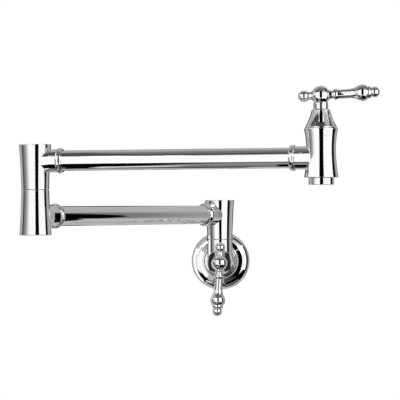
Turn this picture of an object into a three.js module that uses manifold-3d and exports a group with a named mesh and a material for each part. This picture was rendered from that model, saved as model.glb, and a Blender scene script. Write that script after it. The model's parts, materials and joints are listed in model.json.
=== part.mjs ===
// Wall mounted pot filler: a double-jointed swing arm with a quarter-turn valve at each end.
//
// Millimetres. +X runs along the wall, +Y goes into the wall and +Z is up.
// The origin is on the inlet's axis, in the plane of the finished wall.
// Both arms are shown half unfolded: the lower one forward and left, the upper one back to the right.

import * as THREE from "three";
import { mergeVertices, toCreasedNormals } from "three/addons/utils/BufferGeometryUtils.js";
import Module from "manifold-3d";

const wasm = await Module();
wasm.setup();

// Clearance between pieces that touch, or that turn on each other.
const gap = 0.3;

// Arms.
const postOffset = 55; // from the wall to the post's axis
const lowerArmLength = 277; // post's axis to elbow's axis
const upperArmLength = 277; // elbow's axis to spout's axis
const lowerArmAngle = 231; // degrees from +X to the lower arm
const elbowAngle = 119; // degrees from the lower arm's direction to the upper arm's
const tubeRadius = 9.75;
const tubeWall = 1.5;
const waterRadius = 6; // of every straight water passage

// Barrels of the post and the elbow, measured from the seam that each one turns on.
const barrelWaist = 13.4; // radius at the seam
const barrelRim = 15.5; // radius at the closed end
const barrelSwell = 0.4; // how slowly its side flares near the seam
const barrelCap = 4; // thickness of the closed end
const barrelChamfer = 0.7;
const seamChamfer = 0.3;
const postArmRise = 26.4; // lower arm's axis above the post's seam
const elbowArmDrop = 25.3; // lower arm's axis below the elbow's seam
const elbowArmRise = 27.8; // upper arm's axis above the elbow's seam
const postShoulder = 4.6; // barrel beyond its side boss
const elbowFootShoulder = 7.4;
const elbowTopShoulder = 5;
const bossLip = 1.15; // side boss stands out this far round the tube
const bossLength = 6.9; // side boss beyond the barrel's rim
const elbowBossLength = 8.9; // the same on the elbow's lower barrel
const bossFlare = 2.7; // extra radius where the boss grows out of its barrel
const spigotLength = 11; // plug of the boss inside the tube

// Decorative ring where a tube meets its boss.
const ferruleLength = 5.1;
const ferruleCrest = 2.2; // height over its own bore
const ferruleEdge = 0.85; // thickness at the outer end

// Swivel: a hollow spindle with two seal rings, held by a set screw in a groove.
const tailRadius = 8.5; // part screwed into the fixed side
const tailLength = 12;
const journalRadius = 9.6; // part that the barrel turns on
const spindleBore = 5;
const spindleWaist = 7.2; // radius of the neck inside the water passage
const spindlePort = 3.4; // radius of the cross holes
const portMargin = 2; // neck beyond the passage
const washerThickness = 1; // thrust washer, sunk into the fixed side
const washerInset = 1.6; // washer's edge inside the barrel's waist
const screwRadius = 1.2;
const screwHeight = 4.5; // above the seam
const ringSection = 0.9; // radius of a seal ring's section
const ringGroove = 2.4; // width of its groove

// Quarter-turn cartridge, measured outward from its seat.
const sleeveRadius = 9.2;
const sleeveWall = 1.5;
const annulus = 1.2; // water space round the sleeve
const sealThickness = 2;
const sealWidth = 2.4;
const discThickness = 2.6;
const discPortInner = 2;
const discPortSpread = 36; // degrees to each side of an opening's middle
const discRim = 1.2; // solid edge outside the openings
const windowHeight = 6;
const windowWidth = 9;
const windowSill = 0.9;
const driverThickness = 2.4; // disc of the stem
const driverSlack = 0.2;
const legInner = 4; // legs of the stem that turn the moving disc
const legWidth = 4;
const legFloor = 0.4; // disc left under a leg's notch
const shaftRadius = 3.9;
const cavityDepth = 28; // seat to shoulder
const seatDepth = 37.3; // seat to rim
const cartridgeFlange = 11.8; // radius
const cartridgeGroove = 1.8; // depth of the seal groove in the flange
const cartridgeRing = 0.85; // radius of that seal ring's section
const wrenchRadius = 9.5;
const wrenchHeight = 4.5;
const seatLedge = 1.7; // under the spout's seat

// Wall body, measured outward from the wall.
const bodyWall = 1.4; // over the cartridge's flange
const bodyChamfer = 0.7;
const bodyBack = 4;
const rimBeyondPost = 16.5;
const tailSeat = 1.6; // metal between the valve's chamber and the post's spindle
const seatWeb = 10.2; // metal between the inlet's thread and the seat
const nippleRadius = 10.5; // half-inch pipe thread
const nippleBore = 6.5;
const nippleBehindWall = 20;
const nippleChamfer = 0.9;

// Wall flange.
const flangeRadius = 31.5;
const flangeHeight = 16.4;
const flangeLip = 2.5; // width of the face that lies on the wall
const gasketWidth = 6.7;
const gasketThickness = 1.7;
const flangeRingSection = 0.75;

// Spout, measured from the upper arm's axis.
const spoutRim = 27.4;
const spoutRimRadius = 15.8;
const spoutWaist = 5.7;
const spoutWaistRadius = 13.8;
const spoutFootRadius = 16.1;
const spoutBossLength = 8.3;
const socketDepth = 7;
const aeratorRadius = 11.95;
const aeratorDrop = 6.7;
const aeratorThread = 10.3;
const aeratorWall = 1.1;
const aeratorLip = 0.6; // inward lip that holds the insert
const insertHeight = 6;
const insertHole = 2;
const insertRing = 5.4; // radius of the circle of holes
const insertHoles = 6;
const washerWidth = 2.7;
const washerHeight = 1.8;

// Handles.
const bonnetHeight = 17.3;
const bonnetTop = 8.5; // radius
const bonnetSink = 1.2; // pull of its slightly hollow side
const bonnetBore = 10;
const bonnetBoreDepth = 4.9;
const skirtRadius = 7;
const skirtHeight = 5.7;
const ballRise = 13; // hub's base to the ball's centre
const ballRadius = 8.8;
const stemShort = 2.2; // stem's end below the ball's centre
const studRadius = 2.3;
const studLength = 3;
const spotFace = 8; // flat on the ball, from its centre
const hubScrewRadius = 1.3;
const leverLength = 55.3; // ball's centre to tip
const leverBulb = 7.5; // radius
const finialLength = 21.3;
const endBall = 4.9; // radius of the ball at each tip
const leverTilt = 2.5; // degrees outward
const wallLeverAngle = -93; // degrees from +X in the rim's plane: hangs down
const spoutLeverAngle = 0; // points away from the arm

// Facets.
const largeSides = 18;
const mediumSides = 14;
const smallSides = 12;
const tinySides = 8;
const curveSteps = 3;
const ringSteps = 5; // sides of a seal ring's section
const creaseAngle = Math.PI / 5;
const spare = 1; // how far a cutting tool runs past the face that it opens

// Sizes that follow.
const seamEdge = gap / 2;
const washerTop = -seamEdge;
const washerBase = washerTop - washerThickness;
const washerRadius = barrelWaist - washerInset;
const recessFloor = washerBase - gap;
const bossRadius = tubeRadius + bossLip;
const bossReach = barrelRim + bossLength;
const elbowBossReach = barrelRim + elbowBossLength;
const spoutBossReach = spoutFootRadius + spoutBossLength;
const spigotRadius = tubeRadius - tubeWall - gap;
const spindleHole = journalRadius + gap + 0.1;
const tailHole = tailRadius + gap;
const postHeight = postArmRise + bossRadius + postShoulder;
const elbowFootHeight = elbowArmDrop + bossRadius + elbowFootShoulder;
const elbowTopHeight = elbowArmRise + bossRadius + elbowTopShoulder;
const cavityRadius = sleeveRadius + annulus;
const flangeBoreRadius = cartridgeFlange + gap;
const bodyRadius = flangeBoreRadius + bodyWall;
const postSeam = cavityRadius + tailSeat + tailLength;
const wallRim = postOffset + rimBeyondPost;
const wallSeat = wallRim - seatDepth;
const inletEnd = wallSeat - seatWeb;
const sleeveBore = sleeveRadius - sleeveWall;
const fixedDiscBase = sealThickness + 2 * gap;
const movingDiscBase = fixedDiscBase + discThickness + gap;
const windowBase = movingDiscBase + discThickness + windowSill;
const driverBase = windowBase + windowHeight + gap;
const chamberTop = driverBase + driverThickness + gap;
const hubBase = seatDepth + bonnetHeight + 2 * gap;
const ballHeight = hubBase + ballRise;
const stemEnd = ballHeight - stemShort;
const spoutSeat = spoutRim - seatDepth;
const spoutFoot = spoutSeat - seatLedge - socketDepth;
const aeratorFoot = spoutFoot - aeratorDrop;
const wallBonnetRadius = bodyRadius - gap;
const spoutBonnetRadius = spoutRimRadius - 0.9;

// Finishes.
const chrome = new THREE.MeshStandardMaterial({ color: 0xd4d7da, metalness: 1, roughness: 0.08 });
const brass = new THREE.MeshStandardMaterial({ color: 0xb9974f, metalness: 1, roughness: 0.35 });
const steel = new THREE.MeshStandardMaterial({ color: 0x8d9194, metalness: 1, roughness: 0.4 });
const rubber = new THREE.MeshStandardMaterial({ color: 0x17181a, metalness: 0, roughness: 0.8 });
const ceramic = new THREE.MeshStandardMaterial({ color: 0xe9e6de, metalness: 0, roughness: 0.25 });
const plastic = new THREE.MeshStandardMaterial({ color: 0xe4e5e2, metalness: 0, roughness: 0.5 });

// A closed solid from a geometry: position alone, shared vertices merged, collapsed triangles dropped.
function solidOf(geometry) {
  const bare = new THREE.BufferGeometry();
  bare.setAttribute("position", geometry.getAttribute("position"));
  bare.setIndex(geometry.getIndex());
  const merged = mergeVertices(bare);
  const index = merged.getIndex().array;
  const triangles = [];
  for (let i = 0; i < index.length; i += 3) {
    const [a, b, c] = [index[i], index[i + 1], index[i + 2]];
    if (a !== b && b !== c && c !== a) triangles.push(a, b, c);
  }
  return new wasm.Manifold(new wasm.Mesh({
    numProp: 3,
    vertProperties: new Float32Array(merged.getAttribute("position").array),
    triVerts: new Uint32Array(triangles),
  }));
}

function geometryOf(solid) {
  const mesh = solid.getMesh();
  const geometry = new THREE.BufferGeometry();
  geometry.setAttribute("position", new THREE.BufferAttribute(mesh.vertProperties, 3));
  geometry.setIndex(new THREE.BufferAttribute(mesh.triVerts, 1));
  return geometry;
}

function combine(operation, first, others) {
  let solid = solidOf(first);
  for (const other of others) {
    solid = solid[operation](solidOf(other));
  }
  return geometryOf(solid);
}

function join(first, ...others) {
  return combine("add", first, others);
}

function cut(first, ...others) {
  return combine("subtract", first, others);
}

// A profile of [radius, height] points. Four numbers are a curve, its control point first.
// It runs up the outside and down the inside, from axis to axis or back to where it began.
function outline(start, ...steps) {
  const path = new THREE.Path();
  path.moveTo(...start);
  for (const step of steps) {
    if (step.length === 4) path.quadraticCurveTo(...step);
    else path.lineTo(...step);
  }
  return path;
}

// Round form about +Z.
function revolve(path, sides) {
  return new THREE.LatheGeometry(path.getPoints(curveSteps), sides).rotateX(Math.PI / 2);
}

// Plain cylinder about +Z.
function rod(radius, from, to, sides) {
  const geometry = new THREE.CylinderGeometry(radius, radius, to - from, sides);
  return geometry.rotateX(Math.PI / 2).translate(0, 0, (from + to) / 2);
}

// Plain ring about +Z.
function ring(inner, outer, from, to, sides) {
  return revolve(outline([inner, from], [outer, from], [outer, to], [inner, to], [inner, from]), sides);
}

// Seal ring about +Z, with a round section.
function sealRing(middle, section, height, sides) {
  const path = new THREE.Path();
  path.absarc(middle, height, section, -Math.PI / 2, Math.PI * 1.5);
  return new THREE.LatheGeometry(path.getSpacedPoints(ringSteps), sides).rotateX(Math.PI / 2);
}

function block(width, depth, from, to) {
  return new THREE.BoxGeometry(width, depth, to - from).translate(0, 0, (from + to) / 2);
}

// Turns a form about +Z so that its axis is +X.
function sideways(geometry) {
  return geometry.rotateY(Math.PI / 2);
}

// Turns a form about +Z so that its axis points out from the wall.
function outward(geometry) {
  return geometry.rotateX(Math.PI / 2);
}

function named(name, geometry, material) {
  const mesh = new THREE.Mesh(toCreasedNormals(geometryOf(solidOf(geometry)), creaseAngle), material);
  mesh.name = name;
  return mesh;
}

function groupAt(x, y, z, degrees = 0) {
  const group = new THREE.Group();
  group.position.set(x, y, z);
  group.rotation.z = THREE.MathUtils.degToRad(degrees);
  return group;
}

// Side boss about +X, flared where it grows out of a barrel on the Z axis.
function sideBoss(reach, flare) {
  return sideways(revolve(outline(
    [0, 0],
    [bossRadius + flare, 0],
    [bossRadius + flare, 0.1 * barrelRim],
    [bossRadius + flare / 3, 0.55 * barrelRim, bossRadius, barrelRim],
    [bossRadius, reach],
    [0, reach],
  ), mediumSides));
}

// Barrel that stands on its seam at z = 0, with its side boss towards +X at armHeight.
function barrel(height, armHeight, reach, bore, chamberEnd) {
  const body = revolve(outline(
    [0, seamEdge],
    [barrelWaist - seamChamfer, seamEdge],
    [barrelWaist, seamEdge + seamChamfer],
    [barrelWaist + barrelSwell, height / 2, barrelRim, height - barrelChamfer],
    [barrelRim - barrelChamfer, height],
    [0, height],
  ), largeSides);
  const boss = sideBoss(reach, bossFlare).translate(0, 0, armHeight);
  const spigot = sideways(rod(spigotRadius, 0, reach + spigotLength, mediumSides));
  spigot.translate(0, 0, armHeight);
  const water = sideways(rod(waterRadius, 0, reach + spigotLength + spare, smallSides));
  water.translate(0, 0, armHeight);
  const chamber = rod(bore, seamEdge - spare, chamberEnd, largeSides);
  return cut(join(body, boss, spigot), chamber, water);
}

// Sunk seat for the thrust washer, in the face below the seam at z = 0.
function washerRecess() {
  return rod(washerRadius + gap, recessFloor, spare, largeSides);
}

// Barrel that turns on a spindle, with the set screw's hole opposite its boss.
function turningBarrel(height, armHeight) {
  const hole = sideways(rod(screwRadius + gap, -barrelRim, 0, tinySides)).translate(0, 0, screwHeight);
  return cut(barrel(height, armHeight, bossReach, spindleHole, height - barrelCap), hole);
}

function setScrew() {
  const socket = screwRadius / 2;
  const outer = barrelWaist - gap;
  const inner = journalRadius - ringGroove / 2;
  const screw = rod(screwRadius, -outer, -inner, tinySides);
  const key = rod(socket, -outer - spare, -outer + screwRadius, 6);
  return sideways(cut(screw, key)).translate(0, 0, screwHeight);
}

// The grooves share what is left between the set screw's groove and the neck.
function ringHeights(armHeight) {
  const screwTop = screwHeight + screwRadius + gap;
  const neckBase = armHeight - waterRadius - portMargin;
  const land = (neckBase - screwTop - 2 * ringGroove) / 3;
  return [screwTop + land, screwTop + 2 * land + ringGroove];
}

const grooveDepth = 2 * ringSection;

// Hollow spindle: tail below the seam, journal above it, cross holes at the arm's height.
function spindle(height, armHeight) {
  const grooveRadius = journalRadius - grooveDepth;
  const [lowerRing, upperRing] = ringHeights(armHeight);
  const screwBase = screwHeight - screwRadius - gap;
  const screwTop = screwHeight + screwRadius + gap;
  const screwGroove = journalRadius - grooveDepth;
  const neckBase = armHeight - waterRadius - portMargin;
  const neckTop = armHeight + waterRadius + portMargin;
  const top = height - barrelCap - gap;
  const body = revolve(outline(
    [0, -tailLength],
    [tailRadius, -tailLength],
    [tailRadius, washerBase],
    [journalRadius, washerBase],
    [journalRadius, screwBase],
    [screwGroove, screwBase],
    [screwGroove, screwTop],
    [journalRadius, screwTop],
    [journalRadius, lowerRing],
    [grooveRadius, lowerRing],
    [grooveRadius, lowerRing + ringGroove],
    [journalRadius, lowerRing + ringGroove],
    [journalRadius, upperRing],
    [grooveRadius, upperRing],
    [grooveRadius, upperRing + ringGroove],
    [journalRadius, upperRing + ringGroove],
    [journalRadius, neckBase],
    [spindleWaist, neckBase],
    [spindleWaist, neckTop],
    [journalRadius, neckTop],
    [journalRadius, top],
    [0, top],
  ), smallSides);
  const bore = rod(spindleBore, -tailLength - spare, armHeight + spindlePort, smallSides);
  const across = sideways(rod(spindlePort, -tubeRadius, tubeRadius, tinySides)).translate(0, 0, armHeight);
  const along = across.clone().rotateZ(Math.PI / 2);
  return cut(body, bore, across, along);
}

// The swivel's pieces on the fixed side: spindle, seal rings and thrust washer.
function swivel(prefix, height, armHeight) {
  const middle = (journalRadius - grooveDepth + spindleHole) / 2;
  const [lowerRing, upperRing] = ringHeights(armHeight);
  const lower = sealRing(middle, ringSection, lowerRing + ringGroove / 2, smallSides);
  const upper = sealRing(middle, ringSection, upperRing + ringGroove / 2, smallSides);
  const washer = ring(spindleHole, washerRadius, washerBase, washerTop, mediumSides);
  return [
    named(`${prefix}_spindle`, spindle(height, armHeight), brass),
    named(`${prefix}_oring_lower`, lower, rubber),
    named(`${prefix}_oring_upper`, upper, rubber),
    named(`${prefix}_thrust_washer`, washer, rubber),
  ];
}

// Straight tube along +X between two bosses.
function tube(from, to) {
  return sideways(ring(tubeRadius - tubeWall, tubeRadius, from, to, mediumSides));
}

// Ring round the tube, from its boss outward along +X.
function ferrule() {
  const bore = tubeRadius + gap;
  const crest = bore + ferruleCrest;
  return sideways(revolve(outline(
    [bore, 0],
    [crest - 0.7, 0],
    [crest, 0.15 * ferruleLength, crest, 0.35 * ferruleLength],
    [crest - 0.2, 0.7 * ferruleLength, bore + ferruleEdge, ferruleLength],
    [bore, ferruleLength],
    [bore, 0],
  ), mediumSides));
}

// Thick-walled tee: inlet behind, valve chamber in front, threaded riser on top.
function wallBody() {
  const along = revolve(outline(
    [0, bodyBack],
    [bodyRadius - bodyChamfer, bodyBack],
    [bodyRadius, bodyBack + bodyChamfer],
    [bodyRadius, wallRim - bodyChamfer],
    [bodyRadius - bodyChamfer, wallRim],
    [0, wallRim],
  ), largeSides);
  const riserTop = postSeam - seamEdge;
  const riser = revolve(outline(
    [0, 0],
    [barrelWaist, 0],
    [barrelWaist, riserTop - seamChamfer],
    [barrelWaist - seamChamfer, riserTop],
    [0, riserTop],
  ), largeSides).translate(0, -postOffset, 0);
  const inlet = rod(nippleRadius + gap, bodyBack - spare, inletEnd, mediumSides);
  const water = rod(waterRadius, inletEnd - spare, wallSeat + spare, smallSides);
  const chamber = rod(cavityRadius, wallSeat, wallSeat + cavityDepth + spare, mediumSides);
  const rim = rod(flangeBoreRadius, wallSeat + cavityDepth, wallRim + spare, largeSides);
  const thread = rod(tailHole, postSeam - tailLength - gap, postSeam, mediumSides);
  const rise = rod(waterRadius, 0, postSeam, smallSides);
  const recess = washerRecess().translate(0, -postOffset, postSeam);
  return cut(
    join(outward(along), riser),
    outward(inlet),
    outward(water),
    outward(chamber),
    outward(rim),
    thread.translate(0, -postOffset, 0),
    rise.translate(0, -postOffset, 0),
    recess,
  );
}

function inletNipple() {
  const end = inletEnd - gap;
  return outward(revolve(outline(
    [nippleBore, -nippleBehindWall],
    [nippleRadius - nippleChamfer, -nippleBehindWall],
    [nippleRadius, nippleChamfer - nippleBehindWall],
    [nippleRadius, end - nippleChamfer],
    [nippleRadius - nippleChamfer, end],
    [nippleBore, end],
    [nippleBore, -nippleBehindWall],
  ), mediumSides));
}

const flangeBore = bodyRadius + gap;
const flangeGrooveDepth = 2 * flangeRingSection + 0.1;
const flangeGrooveBase = flangeHeight - 5.2;
const flangeGrooveTop = flangeHeight - 3;

// Domed cover plate: rolled rim, convex shoulder, cove and three stepped rings at the neck.
function wallFlange() {
  return outward(revolve(outline(
    [flangeRadius - flangeLip, 0],
    [flangeRadius, 0],
    [flangeRadius, 1.8],
    [flangeRadius, 3.2, flangeRadius - 1.5, 3.6],
    [flangeRadius - 2.2, 3.6],
    [flangeRadius - 2.7, 6.6, flangeRadius - 6.3, 6.9],
    [flangeRadius - 7.5, 6.9],
    [flangeBore + 5.6, 7.2, flangeBore + 5.2, flangeHeight - 4.2],
    [flangeBore + 4.6, flangeHeight - 4.2],
    [flangeBore + 4.6, flangeHeight - 2.8],
    [flangeBore + 2.8, flangeHeight - 2.8],
    [flangeBore + 2.8, flangeHeight - 1.4],
    [flangeBore + 1.1, flangeHeight - 1.4],
    [flangeBore + 1.1, flangeHeight],
    [flangeBore, flangeHeight],
    [flangeBore, flangeGrooveTop],
    [flangeBore + flangeGrooveDepth, flangeGrooveTop],
    [flangeBore + flangeGrooveDepth, flangeGrooveBase],
    [flangeBore, flangeGrooveBase],
    [flangeBore, flangeHeight - 6.9],
    [flangeBore + 3.7, flangeHeight - 8.4],
    [flangeRadius - 8.5, 4.9],
    [flangeRadius - flangeLip, gasketThickness + gap],
    [flangeRadius - flangeLip, 0],
  ), largeSides));
}

// Disc with two opposite openings about the X axis.
function portedDisc(radius) {
  const spread = THREE.MathUtils.degToRad(discPortSpread);
  const ports = [0, Math.PI].map((middle) => {
    const shape = new THREE.Shape();
    shape.absarc(0, 0, radius - discRim, middle - spread, middle + spread);
    shape.absarc(0, 0, discPortInner, middle + spread, middle - spread, true);
    const depth = discThickness + 2 * spare;
    const port = new THREE.ExtrudeGeometry(shape, { depth, bevelEnabled: false, curveSegments: 2 });
    return port.translate(0, 0, -spare);
  });
  return cut(rod(radius, 0, discThickness, mediumSides), ...ports);
}

// Cartridge housing: windowed sleeve round the discs, sealing flange, wrench flats.
function cartridgeHousing() {
  const flangeBase = cavityDepth + gap;
  const flangeTop = seatDepth - gap;
  const grooveBase = flangeBase + (flangeTop - flangeBase - ringGroove) / 2;
  const grooveRadius = cartridgeFlange - cartridgeGroove;
  const body = revolve(outline(
    [0, fixedDiscBase],
    [sleeveRadius, fixedDiscBase],
    [sleeveRadius, flangeBase],
    [cartridgeFlange, flangeBase],
    [cartridgeFlange, grooveBase],
    [grooveRadius, grooveBase],
    [grooveRadius, grooveBase + ringGroove],
    [cartridgeFlange, grooveBase + ringGroove],
    [cartridgeFlange, flangeTop],
    [0, flangeTop],
  ), mediumSides);
  const wrench = rod(wrenchRadius, flangeTop - spare, flangeTop + wrenchHeight, 6);
  const chamber = rod(sleeveBore, fixedDiscBase - spare, chamberTop, mediumSides);
  const windows = block(4 * sleeveRadius, windowWidth, windowBase, windowBase + windowHeight);
  const shaft = rod(shaftRadius + gap, 0, flangeTop + wrenchHeight + spare, smallSides);
  return cut(join(body, wrench), chamber, windows, shaft);
}

function cartridgeSeal() {
  const middle = (cartridgeFlange - cartridgeGroove + flangeBoreRadius) / 2;
  return sealRing(middle, cartridgeRing, (cavityDepth + seatDepth) / 2, mediumSides);
}

// Stem: long shaft, driving disc and two legs that reach into the moving disc's notches.
function stem() {
  const driver = rod(sleeveBore - gap - driverSlack, driverBase, driverBase + driverThickness, mediumSides);
  const shaft = rod(shaftRadius, driverBase, stemEnd, smallSides);
  const outer = sleeveBore - gap - driverSlack - 0.4;
  const middle = (legInner + outer) / 2;
  const foot = movingDiscBase + legFloor + gap;
  const legs = [-middle, middle].map((x) => {
    return block(outer - legInner, legWidth, foot, driverBase + spare).translate(x, 0, 0);
  });
  return join(driver, shaft, ...legs);
}

// The moving disc has its openings across its notches, so it shuts the fixed disc's at rest.
function movingDisc() {
  const radius = sleeveBore - gap;
  const disc = portedDisc(radius).rotateZ(Math.PI / 2).translate(0, 0, movingDiscBase);
  const length = radius + spare - (legInner - gap);
  const middle = legInner - gap + length / 2;
  const notches = [-middle, middle].map((x) => {
    const floor = movingDiscBase + legFloor;
    return block(length, legWidth + 2 * gap, floor, floor + discThickness).translate(x, 0, 0);
  });
  return cut(disc, ...notches);
}

// Conical cover over the cartridge's wrench flats.
function bonnet(baseRadius) {
  const base = seatDepth + gap;
  const top = base + bonnetHeight;
  const hole = shaftRadius + gap + 0.2;
  return revolve(outline(
    [bonnetBore, base],
    [baseRadius, base],
    [baseRadius, base + 0.8],
    [(baseRadius + bonnetTop) / 2 - bonnetSink, (base + top) / 2, bonnetTop, top - 0.7],
    [bonnetTop - 0.7, top],
    [hole, top],
    [hole, base + bonnetBoreDepth + 7.5],
    [hole + 1.6, base + bonnetBoreDepth + 4.5],
    [bonnetBore, base + bonnetBoreDepth],
    [bonnetBore, base],
  ), mediumSides);
}

// Turns a form about +Z into the lever's line through the ball, towards +X or -X.
function onLeverLine(geometry, side) {
  const tilt = THREE.MathUtils.degToRad(leverTilt);
  return geometry.rotateY(side * Math.PI / 2).rotateY(-tilt).translate(0, 0, ballHeight);
}

// Ball hub on a short skirt, with a flat and a threaded hole on each side.
function hub() {
  const profile = new THREE.Path();
  const neck = hubBase + skirtHeight;
  const start = Math.asin((neck + 1.4 - ballHeight) / ballRadius);
  profile.moveTo(0, hubBase);
  profile.lineTo(skirtRadius - 0.5, hubBase);
  profile.lineTo(skirtRadius, hubBase + 0.5);
  profile.lineTo(skirtRadius, neck);
  profile.lineTo(skirtRadius - 0.8, neck + 0.6);
  profile.absarc(0, ballHeight, ballRadius, start, Math.PI / 2);
  const body = revolve(profile, mediumSides);
  const bore = rod(shaftRadius + gap, hubBase - spare, stemEnd + gap, smallSides);
  const screwHole = rod(hubScrewRadius + gap, 0, skirtRadius + spare, tinySides);
  screwHole.rotateX(-Math.PI / 2).translate(0, 0, hubBase + skirtHeight / 2);
  const cutters = [1, -1].flatMap((side) => [
    onLeverLine(rod(ballRadius / 2, spotFace, ballRadius + spare, smallSides), side),
    onLeverLine(rod(studRadius + gap, spotFace - studLength, ballRadius, tinySides), side),
  ]);
  return cut(body, bore, screwHole, ...cutters);
}

function hubScrew() {
  const inner = shaftRadius + 2 * gap;
  const outer = skirtRadius - gap;
  const screw = rod(hubScrewRadius, inner, outer, tinySides);
  const key = rod(hubScrewRadius / 2, outer - hubScrewRadius, outer + spare, 6);
  return cut(screw, key).rotateX(-Math.PI / 2).translate(0, 0, hubBase + skirtHeight / 2);
}

// Lever, measured from the ball's centre: stud, waisted neck, ring, swelling grip, ring and end ball.
function lever() {
  const face = spotFace + gap;
  const end = leverLength - endBall;
  const groove = end - 3.5;
  const profile = outline(
    [0, face - studLength],
    [studRadius, face - studLength],
    [studRadius, face],
    [4.15, face],
    [3.5, face + 2.4, 4.1, face + 4.3],
    [4.9, face + 4.7],
    [5.4, face + 5.6, 4.9, face + 6.5],
    [4.4, face + 7.6],
    [3.7, (face + end) / 2, leverBulb - 1, groove - 12.8],
    [leverBulb + 1.6, groove - 8.4, leverBulb - 2.2, groove - 3.9],
    [leverBulb - 1.5, groove - 2.4, leverBulb - 2.2, groove - 1.4],
    [4.3, groove],
  );
  profile.absarc(0, end, endBall, Math.asin(-2.4 / endBall), Math.PI / 2);
  return onLeverLine(revolve(profile, smallSides), 1);
}

// Short counterweight opposite the lever.
function finial() {
  const face = spotFace + gap;
  const end = finialLength - endBall;
  const profile = outline(
    [0, face - studLength],
    [studRadius, face - studLength],
    [studRadius, face],
    [4, face],
    [3.3, (face + end - 3) / 2, 3.9, end - 3.8],
  );
  profile.absarc(0, end, endBall, Math.asin(-3 / endBall), Math.PI / 2);
  return onLeverLine(revolve(profile, smallSides), -1);
}

// Cartridge and handle of one end. Its group's +Z is the valve's axis, with z = 0 at the seat.
function valve(prefix, bonnetRadius, leverAngle) {
  const fixedDisc = portedDisc(sleeveBore - gap).translate(0, 0, fixedDiscBase);
  const sealInner = waterRadius + gap;
  const seal = ring(sealInner, sealInner + sealWidth, gap, gap + sealThickness, smallSides);
  const handle = groupAt(0, 0, 0, leverAngle);
  handle.add(
    named(`${prefix}_hub`, hub(), chrome),
    named(`${prefix}_lever`, lever(), chrome),
    named(`${prefix}_finial`, finial(), chrome),
    named(`${prefix}_hub_screw`, hubScrew(), steel),
  );
  return [
    named(`${prefix}_cartridge_housing`, cartridgeHousing(), brass),
    named(`${prefix}_cartridge_oring`, cartridgeSeal(), rubber),
    named(`${prefix}_disc_seal`, seal, rubber),
    named(`${prefix}_fixed_disc`, fixedDisc, ceramic),
    named(`${prefix}_moving_disc`, movingDisc(), ceramic),
    named(`${prefix}_stem`, stem(), brass),
    named(`${prefix}_bonnet`, bonnet(bonnetRadius), chrome),
    handle,
  ];
}

// Spout: waisted body with the valve's chamber above, the arm's boss at the side, the outlet below.
function spoutBody() {
  const body = revolve(outline(
    [0, spoutFoot],
    [spoutFootRadius - 0.5, spoutFoot],
    [spoutFootRadius, spoutFoot + 0.5],
    [spoutWaistRadius + 0.3, spoutFoot + 11.5, spoutWaistRadius, spoutWaist],
    [spoutWaistRadius, spoutRim - 9.4, spoutRimRadius, spoutRim - 1.5],
    [spoutRimRadius, spoutRim - barrelChamfer],
    [spoutRimRadius - barrelChamfer, spoutRim],
    [0, spoutRim],
  ), largeSides);
  const boss = sideBoss(spoutBossReach, bossFlare / 4).rotateZ(Math.PI);
  const spigot = sideways(rod(spigotRadius, -spoutBossReach - spigotLength, 0, mediumSides));
  const water = sideways(rod(waterRadius, -spoutBossReach - spigotLength - spare, 0, smallSides));
  const socket = rod(aeratorThread + gap, spoutFoot - spare, spoutFoot + socketDepth, mediumSides);
  const outlet = rod(waterRadius, spoutFoot, spoutSeat + spare, smallSides);
  const chamber = rod(cavityRadius, spoutSeat, spoutSeat + cavityDepth + spare, mediumSides);
  const rim = rod(flangeBoreRadius, spoutSeat + cavityDepth, spoutRim + spare, largeSides);
  return cut(join(body, boss, spigot), water, socket, outlet, chamber, rim);
}

const aeratorBore = aeratorThread - aeratorWall;
const aeratorTop = spoutFoot + socketDepth - washerHeight - 2 * gap;
const insertBase = aeratorFoot + 2;

function aeratorHousing() {
  return revolve(outline(
    [aeratorBore - aeratorLip, aeratorFoot],
    [aeratorRadius - 0.45, aeratorFoot],
    [aeratorRadius, aeratorFoot + 0.45],
    [aeratorRadius, spoutFoot - gap],
    [aeratorThread, spoutFoot - gap],
    [aeratorThread, aeratorTop],
    [aeratorBore, aeratorTop],
    [aeratorBore, insertBase - gap],
    [aeratorBore - aeratorLip, insertBase - gap],
    [aeratorBore - aeratorLip, aeratorFoot],
  ), mediumSides);
}

function aeratorInsert() {
  const top = insertBase + insertHeight;
  const disc = rod(aeratorBore - gap, insertBase, top, mediumSides);
  const holes = [rod(insertHole, insertBase - spare, top + spare, tinySides)];
  for (let i = 0; i < insertHoles; i += 1) {
    const angle = (i * 2 * Math.PI) / insertHoles;
    const hole = rod(insertHole, insertBase - spare, top + spare, tinySides);
    holes.push(hole.translate(insertRing * Math.cos(angle), insertRing * Math.sin(angle), 0));
  }
  return cut(disc, ...holes);
}

function aeratorWasher() {
  const outer = aeratorThread - 0.1;
  return ring(outer - washerWidth, outer, aeratorTop + gap, aeratorTop + gap + washerHeight, smallSides);
}

// Fixed side, screwed to the wall's supply pipe.
const gasketOuter = flangeRadius - flangeLip - gap;
const gasket = ring(gasketOuter - gasketWidth, gasketOuter, 0, gasketThickness, largeSides);
const flangeRingMiddle = bodyRadius + gap / 2 + flangeGrooveDepth / 2 + 0.1;
const flangeRingHeight = (flangeGrooveBase + flangeGrooveTop) / 2;
const flangeRing = sealRing(flangeRingMiddle, flangeRingSection, flangeRingHeight, largeSides);
const wallValve = groupAt(0, -wallSeat, 0);
wallValve.rotation.x = Math.PI / 2;
wallValve.add(...valve("wall", wallBonnetRadius, wallLeverAngle));
const post = groupAt(0, -postOffset, postSeam);
post.add(...swivel("post", postHeight, postArmRise));

// Spout head at the upper arm's far end.
const spoutValve = groupAt(0, 0, spoutSeat);
spoutValve.add(...valve("spout", spoutBonnetRadius, spoutLeverAngle));
const spoutHead = groupAt(upperArmLength, 0, elbowArmRise);
spoutHead.add(
  named("spout_body", spoutBody(), chrome),
  named("aerator_housing", aeratorHousing(), chrome),
  named("aerator_insert", aeratorInsert(), plastic),
  named("aerator_washer", aeratorWasher(), rubber),
  spoutValve,
);

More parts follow.
